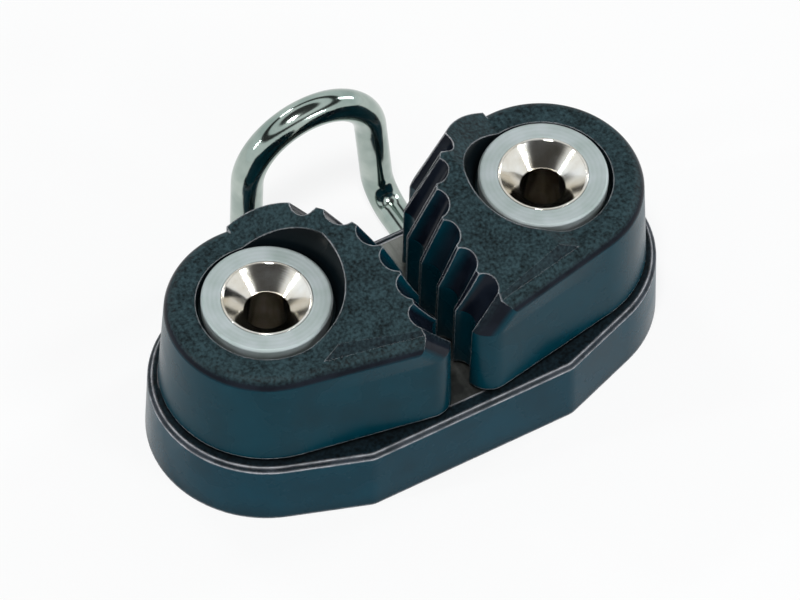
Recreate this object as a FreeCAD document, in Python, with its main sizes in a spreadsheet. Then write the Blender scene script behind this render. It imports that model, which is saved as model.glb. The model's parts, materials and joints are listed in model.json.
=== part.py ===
"""Ball-bearing cam cleat with a wire fairlead, as a parametric document. Millimetres, +Z up.

The origin lies midway between the two screw axes, on the face that rests on the deck. +X runs along the
cleat from the left pivot to the right one, and +Y points the way the loaded rope comes in.
"""
import FreeCAD, Part
import math
import os

import Sketcher
from FreeCAD import Placement, Rotation, Vector

SIZES = {
    # fasteners and turned sleeves
    "screw_spacing": 38.0,
    "screw_bore": 5.5,
    "sleeve_diameter": 8.8,
    "sleeve_head_diameter": 10.9,
    "sleeve_head_thickness": 1.2,
    "flare_diameter": 10.4,
    "flare_angle": 90.0,
    "sleeve_top": 24.6,
    # top washers
    "washer_diameter": 15.7,
    "washer_thickness": 2.0,
    "washer_edge": 0.25,
    # base
    "base_height": 9.3,
    "base_end_radius": 14.6,
    "base_nose_half_width": 13.8,
    "base_nose_depth": 17.3,
    "base_nose_radius": 3.0,
    "base_back_depth": 11.6,
    "base_draft": 2.0,
    "base_edge": 0.5,
    "core_depth": 5.0,
    "core_wall": 2.0,
    "core_length": 8.0,
    # channel plate
    "plate_half_width": 7.0,
    "plate_thickness": 0.8,
    "plate_front_margin": 2.5,
    "plate_back_margin": 1.5,
    # cams
    "cam_foot": 10.0,
    "cam_radius": 13.0,
    "cam_lip_height": 20.0,
    "cam_full_height": 28.6,
    "cam_draft": 0.6,
    "crown_draft": 0.5,
    "cam_gap": 2.6,
    "cam_nose_depth": 12.8,
    "cam_nose_radius": 3.0,
    "cam_edge": 1.3,
    "cam_edge_crossing": 15.0,
    "face_slope": 0.4,
    "lip_face_top": -1.0,
    "lip_turn": 83.0,
    "crown_face_top": -3.65,
    "crown_turn": 37.0,
    "crown_nose_turn": 45.0,
    "platform_height": 23.8,
    "ramp_foot": 1.3,
    "ramp_slope": 0.5,
    "crest_front": 24.0,
    "crest_back": 28.0,
    "crest_back_start": 4.2,
    "recess_depth": 1.0,
    "recess_slope": 0.32,
    "cam_travel": 42.0,
    # teeth
    "tooth_pitch": 4.05,
    "tooth_count": 6.0,
    "flute_radius": 1.9,
    "flute_depth": 1.35,
    "first_flute": -11.5,
    # balls
    "ball_diameter": 3.175,
    "lower_track_radius": 9.3,
    "upper_track_radius": 6.05,
    "lower_ball_count": 17.0,
    "upper_ball_count": 11.0,
    "track_bite": 0.4,
    # springs
    "spring_wire": 1.2,
    "spring_mean_radius": 5.6,
    "spring_turns": 2.75,
    "spring_pitch": 2.35,
    "spring_leg_reach": 7.5,
    "chamber_radius": 6.5,
    "chamber_top": 17.2,
    # stop lugs
    "lug_inner": 11.5,
    "lug_outer": 12.6,
    "lug_depth": 1.7,
    "lug_angle": 16.0,
    "lug_place": 150.0,
    # wire fairlead
    "wire_diameter": 4.0,
    "wire_plane": 22.2,
    "wire_foot_half_spread": 9.4,
    "wire_shoulder_half_spread": 8.6,
    "wire_shoulder_height": 15.8,
    "wire_bend": 4.0,
    "wire_lean": 0.045,
    "wire_foot_end": -2.0,
    # clearances
    "fit_clearance": 0.05,
    "running_clearance": 0.1,
    "ball_clearance": 0.05,
    "free_clearance": 0.3,
}

doc = FreeCAD.newDocument("CamCleat")
sheet = doc.addObject("Spreadsheet::Sheet", "Sizes")
for row, (alias, size) in enumerate(SIZES.items(), start=1):
    sheet.set("A%d" % row, alias)
    sheet.set("B%d" % row, str(size))
    sheet.setAlias("B%d" % row, alias)
doc.recompute()


def size_of(alias):
    return float(sheet.get(alias))


def add_body(label, side=0):
    """A body at the origin, or on the pivot of the given side (-1 left, +1 right)."""
    body = doc.addObject("PartDesign::Body", label)
    body.Label = label
    if side:
        body.setExpression("Placement.Base.x", "%d * Sizes.screw_spacing / 2" % side)
    return body


def origin_plane(body, role):
    return next(item for item in body.Origin.OriginFeatures if item.Role == role)


def add_sketch(body, name, role="XY_Plane", height=None):
    sketch = body.newObject("Sketcher::SketchObject", name)
    sketch.AttachmentSupport = [(origin_plane(body, role), "")]
    sketch.MapMode = "FlatFace"
    if height is not None:
        sketch.setExpression("AttachmentOffset.Base.z", height)
    return sketch


def add_circle(sketch, radius, expression, x=0.0, y=0.0):
    """A circle whose radius is bound to the sheet; its centre is fixed from the sketch's origin."""
    circle = sketch.addGeometry(Part.Circle(Vector(x, y, 0), Vector(0, 0, 1), radius), False)
    bound = sketch.addConstraint(Sketcher.Constraint("Radius", circle, radius))
    sketch.setExpression("Constraints[%d]" % bound, expression)
    if x == 0.0 and y == 0.0:
        sketch.addConstraint(Sketcher.Constraint("Coincident", circle, 3, -1, 1))
    return circle


def add_chain(sketch, edges):
    """A closed chain of lines and arcs."""
    for edge in edges:
        sketch.addGeometry(edge, False)


def add_polygon(sketch, points):
    corners = [Vector(x, y, 0) for x, y in points]
    add_chain(sketch, [Part.LineSegment(a, b) for a, b in zip(corners, corners[1:] + corners[:1])])


def add_pad(body, sketch, name, length, taper=None):
    pad = body.newObject("PartDesign::Pad", name)
    pad.Profile = sketch
    pad.setExpression("Length", length)
    if taper:
        pad.setExpression("TaperAngle", taper)
    return pad


def add_pocket(body, sketch, name, length=None, upward=False, both_ways=False):
    pocket = body.newObject("PartDesign::Pocket", name)
    pocket.Profile = sketch
    if length is None:
        pocket.Type = "ThroughAll"
    else:
        pocket.setExpression("Length", length)
    pocket.Reversed = upward
    pocket.Midplane = both_ways
    return pocket


def add_turned(body, sketch, name, kind="PartDesign::Revolution"):
    """A revolution or groove about the body's own Z axis; the sketch lies in its XZ plane."""
    turned = body.newObject(kind, name)
    turned.Profile = sketch
    turned.ReferenceAxis = (sketch, ["V_Axis"])
    turned.Angle = 360.0
    return turned


def polar(radius, degrees):
    return Vector(radius * math.cos(math.radians(degrees)), radius * math.sin(math.radians(degrees)), 0)


def sector(inner, outer, start, end):
    """The four edges of a ring sector between two angles in degrees."""
    middle = (start + end) / 2
    return [
        Part.Arc(polar(inner, start), polar(inner, middle), polar(inner, end)),
        Part.LineSegment(polar(inner, end), polar(outer, end)),
        Part.Arc(polar(outer, end), polar(outer, middle), polar(outer, start)),
        Part.LineSegment(polar(outer, start), polar(inner, start)),
    ]


def tangent_point(radius, point):
    """Where the front tangent from a point meets the circle about the origin, on the circle's front side."""
    distance = point.Length
    bearing = math.atan2(point.y, point.x)
    half = math.acos(radius / distance)
    return Vector(radius * math.cos(bearing - half), radius * math.sin(bearing - half), 0)


def round_corner(before, corner, after, radius):
    """Start, middle and end of the arc that rounds a corner between two straight runs."""
    back = (before - corner).normalize()
    ahead = (after - corner).normalize()
    half = back.getAngle(ahead) / 2
    reach = radius / math.tan(half)
    bisector = (back + ahead).normalize()
    centre = corner + bisector * (radius / math.sin(half))
    return corner + back * reach, centre - bisector * radius, corner + ahead * reach


def flip(vector, side):
    """Mirrors a point of the left-hand layout for the right-hand one."""
    return Vector(-side * vector.x, vector.y, vector.z)


half_spacing = size_of("screw_spacing") / 2
ball_radius = size_of("ball_diameter") / 2
lower_ball_height = (size_of("base_height") + size_of("cam_foot")) / 2
washer_foot = size_of("sleeve_top") - size_of("washer_thickness")
upper_ball_height = washer_foot + size_of("track_bite") - ball_radius
upper_race_floor = upper_ball_height - ball_radius - size_of("ball_clearance")
spring_foot = size_of("base_height") + size_of("spring_wire") / 2 + size_of("fit_clearance")
spring_head = spring_foot + size_of("spring_pitch") * size_of("spring_turns")
SIDES = {"left": -1, "right": 1}


def track_section(radius, height, mouth):
    """A ball track's cut through a face at the mouth height: a flat floor and sides that touch the ball."""
    reach = ball_radius + size_of("ball_clearance")
    inward = 1 if mouth > height else -1
    half_floor = reach * math.tan(math.radians(22.5))
    floor = height + inward * reach
    knee = height + inward * half_floor
    edge = mouth - inward * size_of("ball_clearance")
    if inward * (edge - knee) > 0:
        half_mouth = half_floor + inward * (floor - edge)
        return [(radius - half_floor, floor), (radius + half_floor, floor),
                (radius + half_mouth, edge), (radius - half_mouth, edge)]
    return [(radius - half_floor, floor), (radius + half_floor, floor), (radius + reach, knee),
            (radius + reach, edge), (radius - reach, edge), (radius - reach, knee)]


def base_outline():
    """Two round ends, tangents to the front corners, a straight nose and a straight notch at the back."""
    radius = size_of("base_end_radius")
    back = size_of("base_back_depth")
    corner = Vector(size_of("base_nose_half_width"), -size_of("base_nose_depth"), 0)
    pivot = Vector(half_spacing, 0, 0)
    notch = pivot + Vector(-math.sqrt(radius ** 2 - back ** 2), back, 0)
    touch = pivot + flip(tangent_point(radius, flip(corner - pivot, 1)), 1)
    far = pivot + Vector(radius, 0, 0)
    start, middle, end = round_corner(touch, corner, flip(corner, 1), size_of("base_nose_radius"))
    right = [Part.Arc(notch, far, touch), Part.LineSegment(touch, start), Part.Arc(start, middle, end)]
    left = [Part.Arc(flip(end, 1), flip(middle, 1), flip(start, 1)),
            Part.LineSegment(flip(start, 1), flip(touch, 1)),
            Part.Arc(flip(touch, 1), flip(far, 1), flip(notch, 1))]
    nose = Part.LineSegment(end, flip(end, 1))
    return right + [nose] + left + [Part.LineSegment(flip(notch, 1), notch)]


def build_base():
    body = add_body("base")
    outline = add_sketch(body, "base_outline")
    add_chain(outline, base_outline())
    add_pad(body, outline, "base_block", "Sizes.base_height", "-Sizes.base_draft")
    doc.recompute()
    top_face = max(body.Shape.Faces, key=lambda face: face.CenterOfMass.z)
    edge_names = ["Edge%d" % (index + 1) for index, edge in enumerate(body.Shape.Edges)
                  if any(edge.isSame(other) for other in top_face.Edges)]
    bevel = body.newObject("PartDesign::Chamfer", "base_top_edge")
    bevel.Base = (doc.getObject("base_block"), edge_names)
    bevel.setExpression("Size", "Sizes.base_edge")
    doc.recompute()

    bores = add_sketch(body, "sleeve_bores")
    for side in SIDES.values():
        add_circle(bores, size_of("sleeve_diameter") / 2 + size_of("fit_clearance"),
                   "Sizes.sleeve_diameter / 2 + Sizes.fit_clearance", side * half_spacing)
    add_pocket(body, bores, "sleeve_bore_cut", upward=True)

    plate_bed = add_sketch(body, "plate_bed", height="Sizes.base_height")
    width = size_of("plate_half_width")
    front = size_of("plate_front_margin") - size_of("base_nose_depth")
    back = size_of("base_back_depth") - size_of("plate_back_margin")
    add_polygon(plate_bed, [(-width, front), (width, front), (width, back), (-width, back)])
    add_pocket(body, plate_bed, "plate_bed_cut", "Sizes.plate_thickness")

    for name, side in SIDES.items():
        pivot = Vector(side * half_spacing, 0, 0)
        groove_sketch = add_sketch(body, "lower_track_" + name, "XZ_Plane")
        add_polygon(groove_sketch, track_section(pivot.x + size_of("lower_track_radius"), lower_ball_height,
                                                 size_of("base_height")))
        axis = add_sketch(body, "pivot_axis_" + name, "XZ_Plane")
        axis.addGeometry(Part.LineSegment(pivot, pivot + Vector(0, size_of("base_height"), 0)), False)
        groove = body.newObject("PartDesign::Groove", "lower_track_cut_" + name)
        groove.Profile = groove_sketch
        groove.ReferenceAxis = (axis, ["Edge1"])
        groove.Angle = 360.0

        slot = add_sketch(body, "stop_slot_" + name, height="Sizes.base_height")
        clear = size_of("free_clearance")
        spare = math.degrees(clear / size_of("lug_inner"))
        start = size_of("lug_place") - size_of("lug_angle") / 2 - size_of("cam_travel") - spare
        end = size_of("lug_place") + size_of("lug_angle") / 2 + spare
        for edge in sector(size_of("lug_inner") - clear, size_of("lug_outer") + clear, start, end):
            edge = edge.toShape()
            if side > 0:
                edge = edge.mirror(Vector(), Vector(1, 0, 0))
            edge.translate(pivot)
            ends = [vertex.Point for vertex in edge.Vertexes]
            if isinstance(edge.Curve, Part.Circle):
                middle = edge.valueAt((edge.FirstParameter + edge.LastParameter) / 2)
                slot.addGeometry(Part.Arc(ends[0], middle, ends[1]), False)
            else:
                slot.addGeometry(Part.LineSegment(ends[0], ends[1]), False)
        add_pocket(body, slot, "stop_slot_cut_" + name, "Sizes.lug_depth")

        leg = add_sketch(body, "spring_leg_hole_" + name, height="Sizes.base_height")
        add_circle(leg, size_of("spring_wire") / 2 + size_of("fit_clearance"),
                   "Sizes.spring_wire / 2 + Sizes.fit_clearance",
                   pivot.x - side * size_of("spring_mean_radius"), 0)
        add_pocket(body, leg, "spring_leg_cut_" + name, "2 * Sizes.spring_wire + Sizes.free_clearance")

        groove_half = size_of("wire_diameter") / 2 + size_of("fit_clearance")
        foot = add_sketch(body, "foot_groove_" + name)
        centre = side * size_of("wire_foot_half_spread")
        foot_end = size_of("wire_foot_end") - size_of("free_clearance")
        back_edge = size_of("base_back_depth") + size_of("base_end_radius")
        add_polygon(foot, [(centre - groove_half, foot_end), (centre + groove_half, foot_end),
                           (centre + groove_half, back_edge), (centre - groove_half, back_edge)])
        add_pocket(body, foot, "foot_groove_cut_" + name, "Sizes.wire_diameter + Sizes.fit_clearance",
                   upward=True)

    core = add_sketch(body, "core")
    inner = size_of("wire_foot_half_spread") - size_of("wire_diameter") / 2 - size_of("core_wall")
    length = size_of("core_length")
    near = -size_of("base_nose_depth") + 2 * size_of("core_wall")
    for start in (near, near + length + size_of("core_wall")):
        end = start + length
        add_polygon(core, [(-inner, start), (inner, start), (inner, end), (-inner, end)])
    add_pocket(body, core, "core_cut", "Sizes.core_depth", upward=True)
    return body


def build_plate():
    body = add_body("channel_plate")
    outline = add_sketch(body, "plate_outline", height="Sizes.base_height - Sizes.plate_thickness")
    width = size_of("plate_half_width")
    front = size_of("plate_front_margin") - size_of("base_nose_depth")
    back = size_of("base_back_depth") - size_of("plate_back_margin")
    add_polygon(outline, [(-width, front), (width, front), (width, back), (-width, back)])
    add_pad(body, outline, "plate_sheet", "Sizes.plate_thickness")
    return body


def build_sleeve(name, side):
    """A turned sleeve: a tube down to the deck, a head in the washer and a flare for the screw's head."""
    body = add_body("sleeve_" + name, side)
    tube = size_of("sleeve_diameter") / 2
    head = size_of("sleeve_head_diameter") / 2
    bore = size_of("screw_bore") / 2
    mouth = size_of("flare_diameter") / 2
    top = size_of("sleeve_top")
    head_foot = top - size_of("sleeve_head_thickness")
    flare_foot = top - (mouth - bore) / math.tan(math.radians(size_of("flare_angle") / 2))
    section = add_sketch(body, "sleeve_section_" + name, "XZ_Plane")
    add_polygon(section, [(bore, 0), (tube, 0), (tube, head_foot), (head, head_foot), (head, top),
                          (mouth, top), (bore, flare_foot)])
    add_turned(body, section, "sleeve_turning_" + name)
    return body


def build_washer(name, side):
    """The flat ring on top of the cam: a seat for the sleeve's head, and the upper ball track beneath."""
    body = add_body("top_washer_" + name, side)
    clear = size_of("fit_clearance")
    bore = size_of("sleeve_diameter") / 2 + clear
    seat = size_of("sleeve_head_diameter") / 2 + clear
    rim = size_of("washer_diameter") / 2
    top = size_of("sleeve_top")
    seat_height = top - size_of("sleeve_head_thickness")
    edge = size_of("washer_edge")
    section = add_sketch(body, "washer_section_" + name, "XZ_Plane")
    add_polygon(section, [(bore, washer_foot), (rim, washer_foot), (rim, top - edge), (rim - edge, top),
                          (seat, top), (seat, seat_height), (bore, seat_height)])
    add_turned(body, section, "washer_turning_" + name)
    track = add_sketch(body, "upper_track_" + name, "XZ_Plane")
    add_polygon(track, track_section(size_of("upper_track_radius"), upper_ball_height, washer_foot))
    add_turned(body, track, "upper_track_cut_" + name, "PartDesign::Groove")
    return body


def crown_inset():
    """How far the gripping face has sloped back from the lip at the full height, at its foremost place."""
    return (size_of("cam_full_height") - size_of("cam_lip_height")) * size_of("face_slope")


def face_arc(crown):
    """The curved gripping face, at the lip or at the crown: centre, radius and end.

    It stands furthest out at the face top and ends on the cam's round back, at the turn angle.
    """
    face = half_spacing - size_of("cam_gap") / 2
    face_top = size_of("lip_face_top")
    back = size_of("cam_radius") - size_of("cam_draft")
    turn = size_of("lip_turn")
    if crown:
        face -= crown_inset()
        face_top = size_of("crown_face_top")
        back -= size_of("crown_draft")
        turn = size_of("crown_turn")
    end = polar(back, turn)
    run = face - end.x
    rise = end.y - face_top
    radius = (run ** 2 + rise ** 2) / (2 * run)
    return Vector(face - radius, face_top, 0), radius, end


def cam_chain(wall_inset, crown=False):
    """One level of a cam about its pivot: round back, front wall, rounded nose and the gripping face.

    The face's front run is straight up to the lip, and at the crown it goes on round the same arc. Its curved
    run bends at a knee, above which the crown's outline is back on the round of the cam.
    """
    centre, arc_radius, end = face_arc(crown)
    radius = size_of("cam_radius") - wall_inset
    rounding = size_of("cam_nose_radius")
    back_end = polar(radius, size_of("lip_turn"))
    face_top = centre + Vector(arc_radius, 0, 0)
    if crown:
        turn = -size_of("crown_nose_turn")
        nose_start = centre + polar(arc_radius, turn)
        front_run = (nose_start, centre + polar(arc_radius, turn / 2), face_top)
        knee = end
        beyond = polar(radius, (size_of("crown_turn") + size_of("lip_turn")) / 2)
    else:
        turn = 0.0
        nose_start = Vector(face_top.x, wall_inset - size_of("cam_nose_depth"), 0)
        front_run = (nose_start, face_top)
        knee_height = face_arc(True)[2].y - centre.y
        knee = centre + polar(arc_radius, math.degrees(math.asin(knee_height / arc_radius)))
        beyond_turn = math.atan2(knee.y - centre.y, knee.x - centre.x)
        beyond_turn += math.atan2(back_end.y - centre.y, back_end.x - centre.x)
        beyond = centre + polar((arc_radius + (back_end - centre).Length) / 2, math.degrees(beyond_turn) / 2)
    half_turn = math.degrees(math.atan2(knee.y - centre.y, knee.x - centre.x)) / 2
    nose_centre = nose_start - polar(rounding, turn)
    bearing = math.degrees(math.atan2(nose_centre.y, nose_centre.x))
    wall_turn = bearing - math.degrees(math.acos((radius - rounding) / nose_centre.Length))
    touch = polar(radius, wall_turn)
    nose_end = nose_centre + polar(rounding, wall_turn)
    nose_middle = nose_centre + polar(rounding, (wall_turn + turn) / 2)
    return [(back_end, polar(radius, 180), touch), (touch, nose_end), (nose_end, nose_middle, nose_start),
            front_run, (face_top, centre + polar(arc_radius, half_turn), knee), (knee, beyond, back_end)]


def cam_outline(side, wall_inset, crown=False):
    """The same level as lines and arcs, on the given side."""
    edges = []
    for points in cam_chain(wall_inset, crown):
        points = [flip(point, side) for point in points]
        edges.append(Part.Arc(*points) if len(points) == 3 else Part.LineSegment(*points))
    return edges


def add_loft(body, sketches, name, kind):
    loft = body.newObject(kind, name)
    loft.Profile = sketches[0]
    loft.Sections = sketches[1:]
    loft.Ruled = True
    return loft


def flute_places():
    """For each flute, where its middle meets the lip, how far it leans back to the crown, and outward."""
    centre, radius, _ = face_arc(False)
    crown_centre, crown_radius, _ = face_arc(True)
    places = []
    for index in range(int(size_of("tooth_count"))):
        travel = size_of("first_flute") + index * size_of("tooth_pitch")
        beyond = max(travel - centre.y, 0)
        outward = polar(1, math.degrees(beyond / radius))
        lip = centre + outward * radius
        if not beyond:
            lip.y = travel
        crown_turn = math.asin((lip.y - crown_centre.y) / crown_radius)
        places.append((lip, lip.x - crown_centre.x - crown_radius * math.cos(crown_turn), outward))
    return places


def cut_flutes(body, name, side):
    """Rounded flutes down the gripping face: upright below the lip, leaning back with the face above it."""
    offset = size_of("flute_radius") - size_of("flute_depth")
    rise = size_of("cam_full_height") - size_of("cam_lip_height")
    upright = add_sketch(body, "flutes_" + name, height="Sizes.cam_lip_height")
    for index, (lip, lean, outward) in enumerate(flute_places()):
        centre = flip(lip + outward * offset, side)
        add_circle(upright, size_of("flute_radius"), "Sizes.flute_radius", centre.x, centre.y)
        leaning = add_sketch(body, "flute_%s_%d" % (name, index), height="Sizes.cam_lip_height")
        add_circle(leaning, size_of("flute_radius"), "Sizes.flute_radius", centre.x, centre.y)
        cut = add_pocket(body, leaning, "flute_cut_%s_%d" % (name, index), upward=True)
        cut.UseCustomVector = True
        cut.Direction = flip(Vector(lean, 0, -rise), side)
    add_pocket(body, upright, "flutes_cut_" + name)


def cut_crown(body, name, side):
    """Lowers the round back to a flat platform, with a ramp up to the toothed block's sloping crest."""
    reach = 2 * size_of("cam_radius")
    full = size_of("cam_full_height")
    platform = size_of("platform_height")
    foot = size_of("ramp_foot")
    ramp_top = foot + (full - platform) / size_of("ramp_slope")
    over = full + size_of("free_clearance")
    ramp = add_sketch(body, "platform_side_" + name, "XZ_Plane")
    profile = [(-reach, platform), (foot, platform), (ramp_top, full), (ramp_top, over), (-reach, over)]
    add_polygon(ramp, [(-side * x, z) for x, z in profile])
    add_pocket(body, ramp, "platform_cut_" + name, both_ways=True)

    front = size_of("crest_front")
    back = size_of("crest_back")
    crest = add_sketch(body, "crest_side_" + name, "YZ_Plane")
    nose = -size_of("cam_nose_depth") - size_of("cam_nose_radius")
    add_polygon(crest, [(-reach, front), (nose, front),
                        (size_of("crest_back_start"), back), (reach, back), (reach, over), (-reach, over)])
    add_pocket(body, crest, "crest_cut_" + name, both_ways=True)


def front_wall_line(side, height):
    """Both ends of the front wall's line at a height above the lip: at the round back and at the nose."""
    lip = size_of("cam_lip_height")
    share = (height - lip) / (size_of("cam_full_height") - lip)
    draft = size_of("cam_draft")
    lower = cam_chain(draft)[1]
    upper = cam_chain(draft + size_of("crown_draft"), True)[1]
    return [flip(low + (high - low) * share, side) for low, high in zip(lower, upper)]


def round_top_edge(body, name, side):
    """Rounds the top edge of the round back, and on along the front wall up to the crest at the nose."""
    platform = size_of("platform_height")
    edge = size_of("cam_edge")
    touch, nose = front_wall_line(side, platform - edge)
    wall = touch.Length
    rise = size_of("crest_back") - platform
    crossing = math.radians(size_of("cam_edge_crossing"))
    radius = edge / (math.cos(crossing) - math.sin(crossing))
    centre = Vector(wall, platform, 0) - Vector(1, 1, 0) * radius * math.cos(crossing)
    outside = centre + Vector(radius, 0, 0)
    top = centre + Vector(0, radius, 0)
    clear = outside + Vector(edge, 0, 0)
    corners = [top, top + Vector(-rise, rise, 0), Vector(clear.x, top.y + rise, 0), clear, outside]
    bearing = math.degrees(math.atan2(touch.y, touch.x))
    section = add_sketch(body, "edge_section_" + name, "XZ_Plane")
    section.AttachmentOffset = Placement(Vector(), Rotation(Vector(0, 1, 0), bearing))
    add_chain(section, [Part.Arc(outside, centre + polar(radius, 45), top)])
    add_chain(section, [Part.LineSegment(a, b) for a, b in zip(corners, corners[1:])])

    straight = add_pocket(body, section, "front_edge_cut_" + name)
    straight.UseCustomVector = True
    straight.Direction = nose - touch + Vector(0, 0, size_of("crest_front") - platform)
    turned = add_turned(body, section, "back_edge_cut_" + name, "PartDesign::Groove")
    around = 360 - abs(math.degrees(math.atan2(touch.y, -side * touch.x)))
    turned.Angle = around - math.degrees(math.acos(size_of("ramp_foot") / wall))
    turned.Reversed = side < 0


def cut_bores(body, name):
    """The recess round the top washer, the upper ball race, the pivot bore and the spring's chamber."""
    bore = size_of("sleeve_diameter") / 2 + size_of("running_clearance")
    race_wall = size_of("upper_track_radius") + ball_radius + size_of("ball_clearance")
    mouth = size_of("washer_diameter") / 2 + size_of("free_clearance")
    mouth_floor = washer_foot - size_of("free_clearance")
    recess_floor = size_of("platform_height") - size_of("recess_depth")
    over = size_of("cam_full_height")
    flare = mouth + (over - recess_floor) * size_of("recess_slope")
    chamber = size_of("chamber_radius")
    chamber_top = size_of("chamber_top")
    section = add_sketch(body, "cam_bores_" + name, "XZ_Plane")
    add_polygon(section, [(0, 0), (chamber, 0), (chamber, chamber_top), (bore, chamber_top),
                          (bore, upper_race_floor), (race_wall, upper_race_floor), (race_wall, mouth_floor),
                          (mouth, mouth_floor), (mouth, recess_floor), (flare, over), (0, over)])
    add_turned(body, section, "cam_bore_cut_" + name, "PartDesign::Groove")

    track = add_sketch(body, "cam_track_" + name, "XZ_Plane")
    add_polygon(track, track_section(size_of("lower_track_radius"), lower_ball_height, size_of("cam_foot")))
    add_turned(body, track, "cam_track_cut_" + name, "PartDesign::Groove")


def add_sector(sketch, side, inner, outer, start, end):
    """A ring sector about the pivot, mirrored for the right-hand side."""
    if side > 0:
        start, end = 180 - end, 180 - start
    add_chain(sketch, sector(inner, outer, start, end))


def build_cam(name, side):
    body = add_body("cam_" + name, side)
    draft = size_of("cam_draft")
    levels = [("Sizes.cam_foot", cam_outline(side, 0.0)), ("Sizes.cam_lip_height", cam_outline(side, draft)),
              ("Sizes.cam_full_height", cam_outline(side, draft + size_of("crown_draft"), True))]
    sketches = []
    for index, (height, edges) in enumerate(levels):
        sketch = add_sketch(body, "cam_level_%s_%d" % (name, index), height=height)
        add_chain(sketch, edges)
        sketches.append(sketch)
    add_loft(body, sketches, "cam_block_" + name, "PartDesign::AdditiveLoft")
    cut_crown(body, name, side)
    round_top_edge(body, name, side)
    cut_flutes(body, name, side)
    cut_bores(body, name)

    slot = add_sketch(body, "spring_slot_" + name, height="Sizes.cam_foot")
    half_width = size_of("spring_wire") / 2 + size_of("fit_clearance")
    slot_end = size_of("spring_leg_reach") + size_of("fit_clearance")
    add_polygon(slot, [(-half_width, 0), (half_width, 0), (half_width, slot_end), (-half_width, slot_end)])
    add_pocket(body, slot, "spring_slot_cut_" + name, "Sizes.chamber_top - Sizes.cam_foot", upward=True)

    half_lug = size_of("lug_angle") / 2
    lug = add_sketch(body, "stop_lug_" + name, height="Sizes.cam_foot")
    add_sector(lug, side, size_of("lug_inner"), size_of("lug_outer"),
               size_of("lug_place") - half_lug, size_of("lug_place") + half_lug)
    pad = add_pad(body, lug, "stop_lug_pad_" + name, "Sizes.lug_depth - Sizes.free_clearance")
    pad.Reversed = True
    return body


def build_balls(label, side, track, height, count):
    balls = []
    for index in range(int(count)):
        ball = doc.addObject("Part::Sphere", "%s_%d" % (label, index))
        ball.setExpression("Radius", "Sizes.ball_diameter / 2")
        ball.Placement.Base = Vector(side * half_spacing, 0, height) + polar(track, 360.0 * index / count)
        balls.append(ball)
    row_of_balls = doc.addObject("Part::Compound", label)
    row_of_balls.Label = label
    row_of_balls.Links = balls
    return row_of_balls


def build_spring(name, side):
    """A torsion spring: a leg down in the base, open coils round the sleeve, a leg out in a cam's slot."""
    body = add_body("spring_" + name, side)
    wire = size_of("spring_wire") / 2
    radius = size_of("spring_mean_radius")
    coil = add_sketch(body, "coil_section_" + name, "XZ_Plane")
    add_circle(coil, wire, "Sizes.spring_wire / 2", -side * radius, spring_foot)
    helix = body.newObject("PartDesign::AdditiveHelix", "coil_" + name)
    helix.Profile = coil
    helix.ReferenceAxis = (coil, ["V_Axis"])
    helix.Mode = "pitch-turns-angle"
    helix.setExpression("Pitch", "Sizes.spring_pitch")
    helix.setExpression("Turns", "Sizes.spring_turns")
    helix.LeftHanded = side < 0

    lower = add_sketch(body, "lower_leg_" + name, height="Sizes.base_height - 2 * Sizes.spring_wire")
    add_circle(lower, wire, "Sizes.spring_wire / 2", -side * radius, 0)
    add_pad(body, lower, "lower_leg_pad_" + name, "2.5 * Sizes.spring_wire + Sizes.fit_clearance")

    upper = add_sketch(body, "upper_leg_" + name, "XZ_Plane", "-Sizes.spring_mean_radius")
    add_circle(upper, wire, "Sizes.spring_wire / 2", 0, spring_head)
    leg = add_pad(body, upper, "upper_leg_pad_" + name, "Sizes.spring_leg_reach - Sizes.spring_mean_radius")
    leg.Reversed = True
    return body


def build_fairlead():
    """A bent rod: two feet under the base, bends up to splayed legs and a round arch over the rope."""
    body = doc.addObject("Part::Feature", "wire_fairlead")
    body.Label = "wire_fairlead"
    radius = size_of("wire_diameter") / 2
    plane = size_of("wire_plane")
    spread = size_of("wire_foot_half_spread")
    shoulder = size_of("wire_shoulder_half_spread")
    height = size_of("wire_shoulder_height")
    bend = size_of("wire_bend")
    splay = math.atan2(spread - shoulder, height - radius)
    arch = shoulder / math.cos(splay)
    arch_centre = Vector(0, plane, height - shoulder * math.tan(splay))
    lean = Rotation(Vector(0, 1, 0), -math.degrees(size_of("wire_lean")))
    ground = Vector(0, plane, radius)

    def leaned(point):
        return ground + lean.multVec(point - ground)

    right_top = leaned(arch_centre + Vector(math.cos(splay), 0, math.sin(splay)) * arch)
    left_top = leaned(arch_centre + Vector(-math.cos(splay), 0, math.sin(splay)) * arch)
    crown = leaned(arch_centre + Vector(0, 0, arch))
    edges = []
    ends = []
    for top, side in ((left_top, -1), (right_top, 1)):
        corner = Vector(side * spread, plane, radius)
        foot_end = Vector(side * spread, size_of("wire_foot_end"), radius)
        start, middle, end = round_corner(foot_end, corner, top, bend)
        ends.append([Part.LineSegment(foot_end, start), Part.Arc(start, middle, end),
                     Part.LineSegment(end, top)])
    left, right = ends
    for curve in left + [Part.Arc(left_top, crown, right_top)]:
        edges.append(curve.toShape())
    for curve in reversed(right):
        edges.append(curve.toShape())
    path = Part.Wire(Part.__sortEdges__(edges))
    start = Vector(-spread, size_of("wire_foot_end"), radius)
    ring = Part.Wire(Part.Circle(start, Vector(0, 1, 0), radius).toShape())
    body.Shape = path.makePipeShell([ring], True, False)
    body.Placement = Placement()
    return body


parts = [build_base(), build_plate(), build_fairlead()]
for side_name, side_sign in SIDES.items():
    parts.append(build_cam(side_name, side_sign))
    parts.append(build_sleeve(side_name, side_sign))
    parts.append(build_washer(side_name, side_sign))
    parts.append(build_spring(side_name, side_sign))
    parts.append(build_balls("lower_balls_" + side_name, side_sign, size_of("lower_track_radius"),
                             lower_ball_height, size_of("lower_ball_count")))
    parts.append(build_balls("upper_balls_" + side_name, side_sign, size_of("upper_track_radius"),
                             upper_ball_height, size_of("upper_ball_count")))
doc.recompute()

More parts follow.
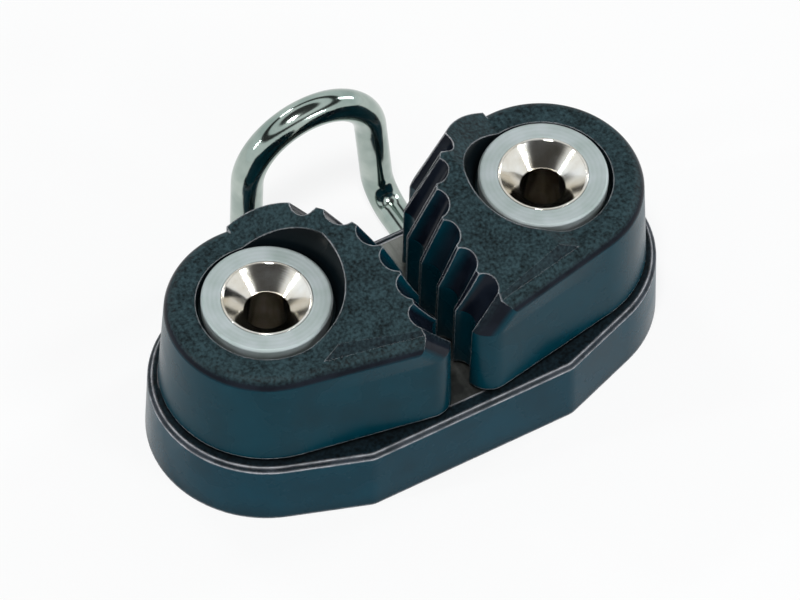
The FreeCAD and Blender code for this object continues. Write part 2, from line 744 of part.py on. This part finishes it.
for item in doc.Objects:
    if "Invalid" in item.State or "Error" in item.State:
        raise RuntimeError("%s did not compute: %s" % (item.Label, item.State))
for part in parts:
    if part.Shape.isNull() or not part.Shape.isValid():
        raise RuntimeError("%s has no valid shape" % part.Label)

os.makedirs("parts", exist_ok=True)
for part in parts:
    part.Shape.exportStep("parts/%s.step" % part.Label)
    print("%-20s %2d solid %9.1f mm3" % (part.Label, len(part.Shape.Solids), part.Shape.Volume))
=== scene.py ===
import json
import math

import bpy
from mathutils import Matrix, Vector


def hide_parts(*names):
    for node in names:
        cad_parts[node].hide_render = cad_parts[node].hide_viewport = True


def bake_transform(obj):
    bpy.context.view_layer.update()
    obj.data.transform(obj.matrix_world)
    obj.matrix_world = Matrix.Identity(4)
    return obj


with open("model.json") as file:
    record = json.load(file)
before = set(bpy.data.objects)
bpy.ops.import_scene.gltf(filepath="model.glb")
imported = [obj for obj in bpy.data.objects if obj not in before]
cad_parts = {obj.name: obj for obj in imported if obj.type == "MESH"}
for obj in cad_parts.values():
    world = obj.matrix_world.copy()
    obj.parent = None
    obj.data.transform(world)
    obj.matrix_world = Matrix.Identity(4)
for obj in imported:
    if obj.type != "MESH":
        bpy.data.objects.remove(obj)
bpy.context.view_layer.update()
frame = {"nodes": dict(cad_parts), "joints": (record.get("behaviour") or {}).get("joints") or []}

# Places on the part, in metres
PIVOT = max(joint["pos_m"][0] for joint in frame["joints"])
RECESS_RADIUS = 0.0103

# Colours, all linear
WHITE = (1.0, 1.0, 1.0)
COOL_WHITE = (0.94, 0.98, 1.0)
# Near-black colour of painted shade in corners, gaps and the recess round each washer.
SHADE_BLACK = (0.003, 0.003, 0.003)
# Dark colour of painted shade on the channel plate.
PLATE_SHADE_COLOUR = (0.02, 0.022, 0.022)

BEVEL_SAMPLES = 6
OCCLUSION_SAMPLES = 8


def shade(colour, factor):
    return [channel * factor for channel in colour]


class Graph:
    """A node tree whose steps read as short calls: each gives the socket that carries its result."""

    def __init__(self, tree):
        self.nodes = tree.nodes
        self.links = tree.links

    def feed(self, socket, value):
        if isinstance(value, bpy.types.NodeSocket):
            self.links.new(value, socket)
        else:
            socket.default_value = value

    def calculate(self, operation, a, b=0.0, clamp=False):
        node = self.nodes.new("ShaderNodeMath")
        node.operation = operation
        node.use_clamp = clamp
        self.feed(node.inputs[0], a)
        self.feed(node.inputs[1], b)
        return node.outputs[0]

    def times(self, a, b):
        return self.calculate("MULTIPLY", a, b)

    def opposite(self, share):
        return self.calculate("SUBTRACT", 1.0, share)

    def span(self, value, low, high, out_low=0.0, out_high=1.0):
        """Maps a stretch of values onto another, held at both ends."""
        node = self.nodes.new("ShaderNodeMapRange")
        numbers = {"Value": value, "From Min": low, "From Max": high, "To Min": out_low, "To Max": out_high}
        for socket, number in numbers.items():
            self.feed(node.inputs[socket], number)
        return node.outputs["Result"]

    def between(self, share, a, b):
        """A number that goes from a to b as the share goes from 0 to 1."""
        return self.span(share, 0.0, 1.0, a, b)

    def colours(self, value, *stops):
        """A colour ramp: each stop is a place from 0 to 1 and a colour."""
        node = self.nodes.new("ShaderNodeValToRGB")
        self.feed(node.inputs["Fac"], value)
        elements = node.color_ramp.elements
        while len(elements) < len(stops):
            elements.new(0.5)
        for element, (place, colour) in zip(elements, stops):
            element.position = place
            element.color = (*colour, 1.0)
        return node.outputs["Color"]

    def component(self, vector, axis):
        node = self.nodes.new("ShaderNodeSeparateXYZ")
        self.feed(node.inputs[0], vector)
        return node.outputs[axis]

    def background_rays(self):
        """1 for the rays that show the background: the camera's, and those seen in metal or through glass."""
        rays = self.nodes.new("ShaderNodeLightPath").outputs
        seen = rays["Is Camera Ray"]
        for kind in ("Is Glossy Ray", "Is Transmission Ray"):
            seen = self.calculate("MAXIMUM", seen, rays[kind])
        return seen


class Shader(Graph):
    """A material's node tree. Lengths in its patterns are in metres on the object."""

    def __init__(self, name):
        self.material = bpy.data.materials.new(name)
        self.material.use_nodes = True
        super().__init__(self.material.node_tree)
        self.surface = self.nodes["Principled BSDF"]
        self.place = self.nodes.new("ShaderNodeTexCoord").outputs["Object"]

    def dress(self, **sockets):
        """Feeds the surface's sockets, named with underscores for their spaces."""
        for name, value in sockets.items():
            self.feed(self.surface.inputs[name.replace("_", " ")], value)

    def noise(self, size, detail=3.0, stretch=(1.0, 1.0, 1.0)):
        """Soft noise whose features are about the given size across, drawn out along each axis by stretch."""
        mapping = self.nodes.new("ShaderNodeMapping")
        self.feed(mapping.inputs["Vector"], self.place)
        mapping.inputs["Scale"].default_value = [1.0 / factor for factor in stretch]
        node = self.nodes.new("ShaderNodeTexNoise")
        self.feed(node.inputs["Vector"], mapping.outputs[0])
        node.inputs["Scale"].default_value = 1.0 / size
        node.inputs["Detail"].default_value = detail
        return node.outputs["Fac"]

    def cells(self, size):
        node = self.nodes.new("ShaderNodeTexVoronoi")
        self.feed(node.inputs["Vector"], self.place)
        node.inputs["Scale"].default_value = 1.0 / size
        return node.outputs["Distance"]

    def mix(self, share, a, b):
        """A colour that goes from a to b as the share goes from 0 to 1."""
        node = self.nodes.new("ShaderNodeMix")
        node.data_type = "RGBA"
        self.feed(node.inputs["Factor"], share)
        for socket, value in zip([item for item in node.inputs if item.type == "RGBA"], (a, b)):
            self.feed(socket, value if isinstance(value, bpy.types.NodeSocket) else (*value, 1.0))
        return next(item for item in node.outputs if item.type == "RGBA")

    def facing_up(self):
        """The height of the surface's direction: 1 on a level top, 0 on an upright wall."""
        return self.component(self.nodes.new("ShaderNodeTexCoord").outputs["Normal"], "Z")

    def radius(self):
        """Distance from the nearer pivot's axis."""
        along = self.calculate("SUBTRACT", self.calculate("ABSOLUTE", self.component(self.place, "X")), PIVOT)
        across = self.component(self.place, "Y")
        square = self.calculate("ADD", self.times(along, along), self.times(across, across))
        return self.calculate("SQRT", square)

    def rings(self, period):
        """Waves round each pivot's axis, from -1 to 1."""
        return self.calculate("SINE", self.times(self.radius(), 2 * math.pi / period))

    def softened(self, width):
        """The surface's direction with its edges rounded to the given width."""
        node = self.nodes.new("ShaderNodeBevel")
        node.samples = BEVEL_SAMPLES
        node.inputs["Radius"].default_value = width
        return node.outputs[0]

    def edges(self, width, blunt, sharp):
        """1 on sharp edges, fading to 0 about a width away from them.

        Blunt and sharp are the cosines, between the face and its softened direction, that give 0 and 1.
        """
        flat = self.nodes.new("ShaderNodeNewGeometry").outputs["Normal"]
        likeness = self.nodes.new("ShaderNodeVectorMath")
        likeness.operation = "DOT_PRODUCT"
        self.feed(likeness.inputs[0], self.softened(width))
        self.feed(likeness.inputs[1], flat)
        return self.span(likeness.outputs["Value"], blunt, sharp)

    def crevices(self, reach, open_at=0.75):
        """1 deep in a corner or gap, fading to 0 where the surface is open as far as reach.

        Open_at is the share of open directions that counts as open.
        """
        node = self.nodes.new("ShaderNodeAmbientOcclusion")
        node.samples = OCCLUSION_SAMPLES
        node.inputs["Distance"].default_value = reach
        return self.span(node.outputs["AO"], 0.25, open_at, 1.0, 0.0)

    def relief(self, *layers, edge=0.0):
        """Bump layers over rounded edges: each is a height pattern, a depth in metres and a strength."""
        normal = self.softened(edge) if edge else None
        for height, depth, strength in layers:
            node = self.nodes.new("ShaderNodeBump")
            self.feed(node.inputs["Height"], height)
            self.feed(node.inputs["Distance"], depth)
            self.feed(node.inputs["Strength"], strength)
            if normal is not None:
                self.feed(node.inputs["Normal"], normal)
            normal = node.outputs[0]
        self.feed(self.surface.inputs["Normal"], normal)


def moulded_plastic(name, wall, shoulder, top, wear_and_glint_colour, wear_and_glint_edges, grain):
    """Dark moulded plastic, with wear and painted glints on its edges, and painted shade in its corners and
    gaps and in the recess round a washer.

    It has satin walls, a polished shoulder where they round over into the top, and a dull grain on the top;
    the shoulder's dark colour is a painted dark reflection.
    Wall and top are colours, shoulder is a dark and a light one (on the base the light one gives painted
    glints), and the edge colour is a near-white painted glint on edges that also show wear.
    The edge argument holds the width and the two cosines that edges() takes, and grain is how strong its
    relief is.
    """
    shader = Shader(name)
    height = shader.facing_up()
    over = shader.span(height, 0.2, 0.4)
    level = shader.span(height, 0.55, 0.8)

    cloud = shader.noise(size=0.006, detail=4.0)
    speckle = shader.noise(size=0.0004)
    blotch = shader.noise(size=0.0028, detail=4.0)
    spots = shader.calculate("ADD", shader.times(speckle, 0.7), shader.times(blotch, 0.3))
    walls = shader.colours(cloud, (0.3, shade(wall, 0.85)), (0.7, shade(wall, 1.2)))
    # Painted dark reflection on the shoulder band; on the base its lighter noise spots are painted glints.
    shoulders = shader.colours(shader.noise(size=0.004), (0.42, shoulder[0]), (0.56, shoulder[1]))
    tops = shader.colours(spots, (0.36, shade(top, 0.25)), (0.64, shade(top, 1.9)))
    body = shader.mix(level, shader.mix(over, walls, shoulders), tops)

    # Painted shade: ambient occlusion darkens the corners and gaps, and surfaces in the recess round each
    # washer that are not level tops are darkened too.
    corner_shade = shader.crevices(reach=0.005)
    # Painted glints: a near-white colour along sharp edges, broken up by noise and kept out of the shaded
    # corners; the same mask lowers the roughness there, where the edges also show wear.
    wear_and_glint_patches = shader.span(shader.noise(size=0.0016), 0.35, 0.6, 0.5, 1.0)
    wear_and_glint = shader.times(shader.times(shader.edges(*wear_and_glint_edges), wear_and_glint_patches), shader.opposite(corner_shade))
    near_washer = shader.calculate("LESS_THAN", shader.radius(), RECESS_RADIUS)
    recess_shade = shader.times(near_washer, shader.opposite(level))
    painted_shade = shader.calculate("MAXIMUM", shader.times(corner_shade, 0.75), shader.times(recess_shade, 0.85))

    satin = shader.span(cloud, 0.3, 0.7, 0.22, 0.32)
    polished = shader.span(cloud, 0.3, 0.7, 0.12, 0.18)
    dull = shader.span(speckle, 0.3, 0.7, 0.42, 0.6)
    unrubbed = shader.between(level, shader.between(over, satin, polished), dull)
    shader.dress(Base_Color=shader.mix(wear_and_glint, shader.mix(painted_shade, body, SHADE_BLACK), wear_and_glint_colour),
                 Roughness=shader.span(wear_and_glint, 0.0, 0.6, unrubbed, 0.16), Specular_IOR_Level=0.09)
    shader.relief((shader.cells(0.00045), 0.00004, shader.times(level, grain)),
                  (shader.noise(size=0.0022, detail=2.0), 0.00004, 0.2), edge=0.0006)
    return shader.material


def polished_steel(name, dull, bright):
    """Polished stainless steel: smudges between a dull and a bright tint, and faint turning rings."""
    shader = Shader(name)
    smudge = shader.noise(size=0.004, detail=4.0)
    shader.dress(Base_Color=shader.colours(smudge, (0.3, dull), (0.75, bright)), Metallic=1.0,
                 Roughness=shader.span(smudge, 0.35, 0.75, 0.08, 0.15))
    shader.relief((shader.rings(period=0.00022), 0.000001, 0.2),
                  (shader.noise(size=0.0006, detail=2.0), 0.00001, 0.12), edge=0.0002)
    return shader.material


def turned_steel():
    """The top rings: matt grey steel with close turning lines."""
    shader = Shader("turned_steel")
    lines = shader.rings(period=0.00055)
    cloud = shader.calculate("ADD", shader.noise(size=0.003, detail=4.0), shader.times(lines, 0.05))
    shader.dress(Base_Color=shader.colours(cloud, (0.3, (0.38, 0.45, 0.43)), (0.7, (0.49, 0.54, 0.55))),
                 Metallic=0.6, Roughness=shader.span(cloud, 0.3, 0.7, 0.5, 0.62))
    shader.relief((lines, 0.000008, 0.5), (shader.noise(size=0.0005, detail=2.0), 0.00001, 0.3), edge=0.00025)
    return shader.material


def plate_steel():
    """Rolled stainless sheet, scratched along the channel by rope, with painted shade where the cams close it
    in and between their noses.
    """
    shader = Shader("plate_steel")
    streak = shader.noise(size=0.0004, stretch=(1.0, 30.0, 1.0))
    steel = shader.colours(streak, (0.3, (0.50, 0.52, 0.47)), (0.7, (0.72, 0.73, 0.67)))
    # Painted shade: the plate darkens between the cams' noses and wherever the cams close it in.
    shade_between_noses = shader.span(shader.component(shader.place, "Y"), -0.011, -0.006, 1.0, 0.0)
    shaded_in = shader.calculate("MAXIMUM", shader.crevices(reach=0.02, open_at=0.95), shade_between_noses)
    plate_shade = shader.times(shaded_in, shader.span(shader.noise(size=0.002), 0.3, 0.6, 0.86, 0.96))
    shader.dress(Base_Color=shader.mix(plate_shade, steel, PLATE_SHADE_COLOUR), Metallic=0.75,
                 Roughness=shader.span(streak, 0.3, 0.7, 0.3, 0.45))
    shader.relief((streak, 0.000008, 0.5), edge=0.0001)
    return shader.material


def spring_steel():
    """Drawn spring wire: dark grey steel, slightly streaked."""
    shader = Shader("spring_steel")
    streak = shader.noise(size=0.0008)
    shader.dress(Base_Color=shader.colours(streak, (0.3, (0.22, 0.22, 0.22)), (0.7, (0.38, 0.38, 0.37))),
                 Metallic=1.0, Roughness=shader.span(streak, 0.3, 0.7, 0.25, 0.4))
    shader.relief((streak, 0.00001, 0.3))
    return shader.material


def ball_plastic():
    """The balls: ivory plastic, a little cloudy."""
    shader = Shader("ball_plastic")
    cloud = shader.noise(size=0.001)
    shader.dress(Base_Color=shader.colours(cloud, (0.3, (0.60, 0.58, 0.52)), (0.7, (0.74, 0.72, 0.66))),
                 Roughness=shader.span(cloud, 0.3, 0.7, 0.35, 0.5))
    shader.relief((shader.noise(size=0.0004, detail=2.0), 0.00001, 0.2))
    return shader.material


def looks():
    """The material of each node, by the first word of the node's name."""
    balls = ball_plastic()
    return {
        # In both plastics the shoulder colours are painted dark reflection (the base's light one gives
        # painted glints), and the near-white edge colour is a painted glint on edges that also show wear.
        "cam": moulded_plastic("cam_plastic", wall=(0.0, 0.034, 0.052), top=(0.0165, 0.032, 0.037),
                               shoulder=((0.004, 0.006, 0.011), (0.008, 0.011, 0.018)),
                               wear_and_glint_colour=(0.90, 0.91, 0.95), wear_and_glint_edges=(0.00045, 0.86, 0.76), grain=0.6),
        "base": moulded_plastic("base_plastic", wall=(0.0, 0.036, 0.058), top=(0.004, 0.010, 0.014),
                                shoulder=((0.010, 0.015, 0.020), (0.07, 0.08, 0.10)),
                                wear_and_glint_colour=(0.90, 0.90, 0.95), wear_and_glint_edges=(0.00045, 0.98, 0.93), grain=0.35),
        "channel": plate_steel(),
        # The wire's dark green tints and the sleeves' amber dull tint are painted reflection: the steel
        # itself is neither green nor amber.
        "wire": polished_steel("wire_steel", dull=(0.26, 0.33, 0.30), bright=(0.45, 0.51, 0.47)),
        "sleeve": polished_steel("sleeve_steel", dull=(0.66, 0.60, 0.50), bright=(0.86, 0.86, 0.84)),
        "top": turned_steel(),
        "spring": spring_steel(),
        "lower": balls,
        "upper": balls,
    }


def dress_nodes():
    materials = looks()
    for name, piece in frame["nodes"].items():
        piece.data.materials.clear()
        piece.data.materials.append(materials[name.split("_")[0]])


def wind_spring(side):
    """A copy of the spring's mesh, fixed in place, that stands in for the spring node, which is hidden."""
    spring = bpy.data.objects.new("wound_spring_" + side, frame["nodes"]["spring_" + side].data.copy())
    bpy.context.collection.objects.link(spring)
    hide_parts("spring_" + side)
    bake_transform(spring)


def add_floor(reach=3.0, glow_share=0.82, patch_radius=0.006):
    """A pale floor that is white to the camera and in the metal, and keeps the part's shadow.

    A patch under each sleeve is left as the plain lit floor, so that the bores stay dark.
    """
    mesh = bpy.data.meshes.new("floor")
    corners = [(-reach, -reach, 0), (reach, -reach, 0), (reach, reach, 0), (-reach, reach, 0)]
    mesh.from_pydata(corners, [], [(0, 1, 2, 3)])
    floor = bpy.data.objects.new("floor", mesh)
    bpy.context.collection.objects.link(floor)
    shader = Shader("floor_white")
    shader.dress(Base_Color=(0.88, 0.88, 0.88, 1.0), Roughness=0.9)
    under_bores = shader.calculate("LESS_THAN", shader.radius(), patch_radius)
    seen = shader.calculate("SUBTRACT", shader.background_rays(), under_bores, clamp=True)
    glow = shader.nodes.new("ShaderNodeEmission")
    glow.inputs["Color"].default_value = (*WHITE, 1.0)
    blend = shader.nodes.new("ShaderNodeMixShader")
    lit = shader.surface.outputs[0]
    for socket, value in zip(blend.inputs, (shader.times(seen, glow_share), lit, glow.outputs[0])):
        shader.feed(socket, value)
    shader.feed(shader.nodes["Material Output"].inputs["Surface"], blend.outputs[0])
    mesh.materials.append(shader.material)


def add_world(dim=0.06, share_as_light=0.45):
    """White up to 29 degrees above the horizon, then a dim ceiling with a white ring 46 to 59 degrees up.

    That is what the camera and the metal see, and less of it falls as light on the part.
    """
    world = bpy.data.worlds.new("studio")
    bpy.context.scene.world = world
    world.use_nodes = True
    graph = Graph(world.node_tree)
    direction = graph.nodes.new("ShaderNodeTexCoord").outputs["Generated"]
    bands = ((0.49, 1.0), (0.55, dim), (0.68, dim), (0.72, 1.0), (0.86, 1.0), (0.90, dim))
    stops = [(height, (light, light, light)) for height, light in bands]
    shown = graph.colours(graph.component(direction, "Z"), *stops)
    share = graph.between(graph.background_rays(), share_as_light, 1.0)
    backdrop = graph.nodes["Background"]
    backdrop.inputs["Color"].default_value = (0.96, 0.99, 1.0, 1.0)
    graph.feed(backdrop.inputs["Strength"], graph.times(shown, share))


def add_lamp(name, place, size, watts, colour):
    """A rectangular lamp that faces the middle of the part."""
    lamp = bpy.data.lights.new(name, "AREA")
    lamp.shape = "RECTANGLE"
    lamp.size, lamp.size_y = size
    lamp.energy = watts
    lamp.color = colour
    item = bpy.data.objects.new(name, lamp)
    item.location = place
    aim = Vector((0.0, 0.0, 0.01)) - Vector(place)
    item.rotation_euler = aim.to_track_quat("-Z", "Y").to_euler()
    bpy.context.collection.objects.link(item)


def add_camera(turn=-31.421, tilt=53.348, roll=1.8, distance=0.9, focal_length=336.4):
    """The camera fitted to the photograph: angles in degrees, distance in metres, focal length in mm."""
    turn, tilt, roll = [math.radians(angle) for angle in (turn, tilt, roll)]
    back = Vector((math.sin(turn) * math.cos(tilt), -math.cos(turn) * math.cos(tilt), math.sin(tilt)))
    level = Vector((math.cos(turn), math.sin(turn), 0.0))
    above = back.cross(level)
    right = math.cos(roll) * level + math.sin(roll) * above
    up = math.cos(roll) * above - math.sin(roll) * level
    aim = Vector((0.0, 0.0, 0.012)) - 0.000476 * right - 0.000174 * up
    lens = bpy.data.cameras.new("camera")
    lens.sensor_width = 36.0
    lens.lens = focal_length
    lens.clip_start = 0.01
    camera = bpy.data.objects.new("camera", lens)
    axes = Matrix((right, up, back)).transposed()
    camera.matrix_world = Matrix.Translation(aim + distance * back) @ axes.to_4x4()
    bpy.context.collection.objects.link(camera)
    bpy.context.scene.camera = camera


dress_nodes()
wind_spring("left")
wind_spring("right")
add_floor()
add_world()
add_lamp("key", (-0.12, -0.14, 0.60), size=(0.09, 0.09), watts=1.9, colour=WHITE)
add_lamp("front", (0.22, -0.55, 0.34), size=(0.22, 0.04), watts=0.9, colour=COOL_WHITE)
add_lamp("side", (0.50, 0.05, 0.25), size=(0.10, 0.20), watts=0.7, colour=COOL_WHITE)
add_lamp("back", (-0.07, 0.46, 0.37), size=(0.14, 0.03), watts=0.4, colour=(0.97, 0.98, 1.0))
add_lamp("left", (-0.53, 0.13, 0.26), size=(0.03, 0.12), watts=0.5, colour=(0.94, 1.0, 1.0))
add_camera()
bpy.context.scene.view_settings.view_transform = "Standard"
